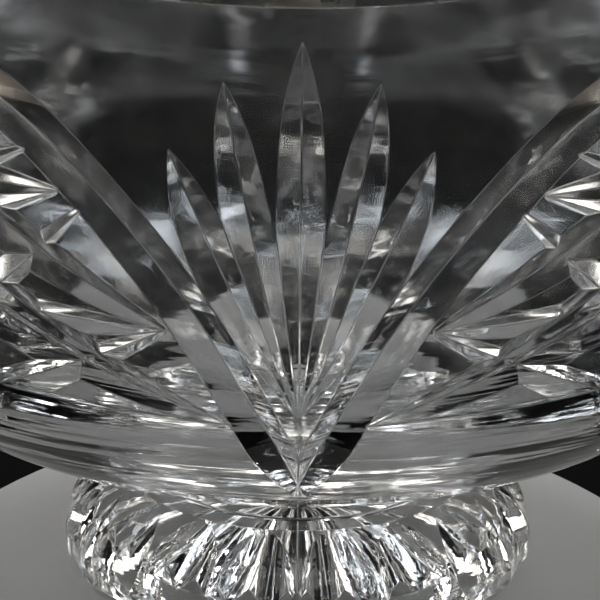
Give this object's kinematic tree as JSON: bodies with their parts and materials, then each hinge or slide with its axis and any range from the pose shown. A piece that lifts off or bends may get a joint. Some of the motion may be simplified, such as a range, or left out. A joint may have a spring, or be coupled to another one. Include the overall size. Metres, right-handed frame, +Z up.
{
  "type": "rose bowl",
  "caption": "Footed cut-glass rose bowl with arched panels, petal fans and star cutting, a fluted domed foot, and a lift-out domed wire grille that holds flower stems.",
  "frame": {"origin": "centre of the foot's resting ring, on the table", "axes": "+Z up along the bowl's axis, -Y towards the middle of the fan panel that faces the camera"},
  "size_m": [0.193, 0.193, 0.1461],
  "materials": {
    "cut_crystal": "polished, wheel-cut outside",
    "silver_plate": "silver plated, polished, slightly tarnished at the crossings"
  },
  "bodies": {
    "glass": {"bowl": "cut_crystal", "stem": "cut_crystal", "foot": "cut_crystal"},
    "grille": {"grille_ring": "silver_plate", "grille_wire_x1": "silver_plate", "grille_wire_x2": "silver_plate", "grille_wire_x3": "silver_plate", "grille_wire_x4": "silver_plate", "grille_wire_x5": "silver_plate", "grille_wire_x6": "silver_plate", "grille_wire_x7": "silver_plate", "grille_wire_y1": "silver_plate", "grille_wire_y2": "silver_plate", "grille_wire_y3": "silver_plate", "grille_wire_y4": "silver_plate", "grille_wire_y5": "silver_plate", "grille_wire_y6": "silver_plate", "grille_wire_y7": "silver_plate"}
  },
  "joints": [
    {"name": "grille_lift", "type": "slide", "parent": "glass", "child": "grille", "axis": [0, 0, 1], "range_m": [0, 0.06]}
  ]
}
